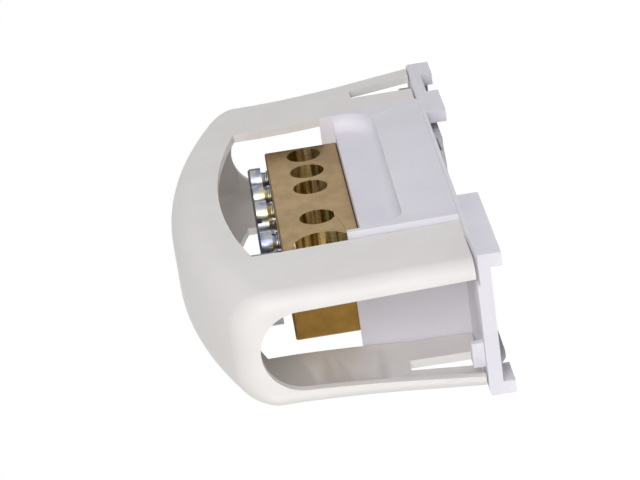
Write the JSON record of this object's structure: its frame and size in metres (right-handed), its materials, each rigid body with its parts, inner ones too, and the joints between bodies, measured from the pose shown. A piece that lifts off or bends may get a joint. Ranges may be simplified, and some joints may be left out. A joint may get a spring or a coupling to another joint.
{
  "type": "power junction block",
  "caption": "Rail-mounted junction block: brass bar with cross bores and clamping screws on a moulded base, under an arched clip-on hood with side windows.",
  "frame": {"origin": "middle of the base's rear plane", "axes": "+X across the mounting rail along the bar, +Y out of the face whose bores the picture shows, +Z out of the front of the hood"},
  "size_m": [0.0886, 0.0243, 0.0506],
  "materials": {
    "base_moulding": "cool white moulded polyamide, fine satin",
    "hood_moulding": "warm light grey moulded ABS, smooth satin",
    "bar_brass": "drawn and drilled brass, lightly dulled",
    "screw_zinc": "bright zinc plating with a faint blue and yellow tint",
    "main_screw_steel": "grey zinc-plated steel"
  },
  "bodies": {
    "block": {"base": "base_moulding", "distribution_bar": "bar_brass", "bar_fixing_screw": "screw_zinc"},
    "cover": {"hood": "hood_moulding"},
    "small_screw_a1": {"clamp_screw_a1": "screw_zinc"},
    "small_screw_a2": {"clamp_screw_a2": "screw_zinc"},
    "small_screw_a3": {"clamp_screw_a3": "screw_zinc"},
    "small_screw_a4": {"clamp_screw_a4": "screw_zinc"},
    "small_screw_b1": {"clamp_screw_b1": "screw_zinc"},
    "small_screw_b2": {"clamp_screw_b2": "screw_zinc"},
    "small_screw_b3": {"clamp_screw_b3": "screw_zinc"},
    "small_screw_b4": {"clamp_screw_b4": "screw_zinc"},
    "main_screw": {"main_clamp_screw": "main_screw_steel"}
  },
  "joints": [
    {"name": "hood_lift", "type": "slide", "parent": "block", "child": "cover", "axis": [0, 0, 1], "range_m": [0, 0.045]},
    {"name": "clamp_a1_travel", "type": "slide", "parent": "block", "child": "small_screw_a1", "axis": [0, 0, 1], "range_m": [-0.0011, 0.0025]},
    {"name": "clamp_a2_travel", "type": "slide", "parent": "block", "child": "small_screw_a2", "axis": [0, 0, 1], "range_m": [-0.0011, 0.0025]},
    {"name": "clamp_a3_travel", "type": "slide", "parent": "block", "child": "small_screw_a3", "axis": [0, 0, 1], "range_m": [-0.0011, 0.0025]},
    {"name": "clamp_a4_travel", "type": "slide", "parent": "block", "child": "small_screw_a4", "axis": [0, 0, 1], "range_m": [-0.0011, 0.0025]},
    {"name": "clamp_b1_travel", "type": "slide", "parent": "block", "child": "small_screw_b1", "axis": [0, 0, 1], "range_m": [-0.0011, 0.0025]},
    {"name": "clamp_b2_travel", "type": "slide", "parent": "block", "child": "small_screw_b2", "axis": [0, 0, 1], "range_m": [-0.0011, 0.0025]},
    {"name": "clamp_b3_travel", "type": "slide", "parent": "block", "child": "small_screw_b3", "axis": [0, 0, 1], "range_m": [-0.0011, 0.0025]},
    {"name": "clamp_b4_travel", "type": "slide", "parent": "block", "child": "small_screw_b4", "axis": [0, 0, 1], "range_m": [-0.0011, 0.0025]},
    {"name": "main_clamp_travel", "type": "slide", "parent": "block", "child": "main_screw", "axis": [0, 0, 1], "range_m": [-0.0014, 0.0012]}
  ]
}
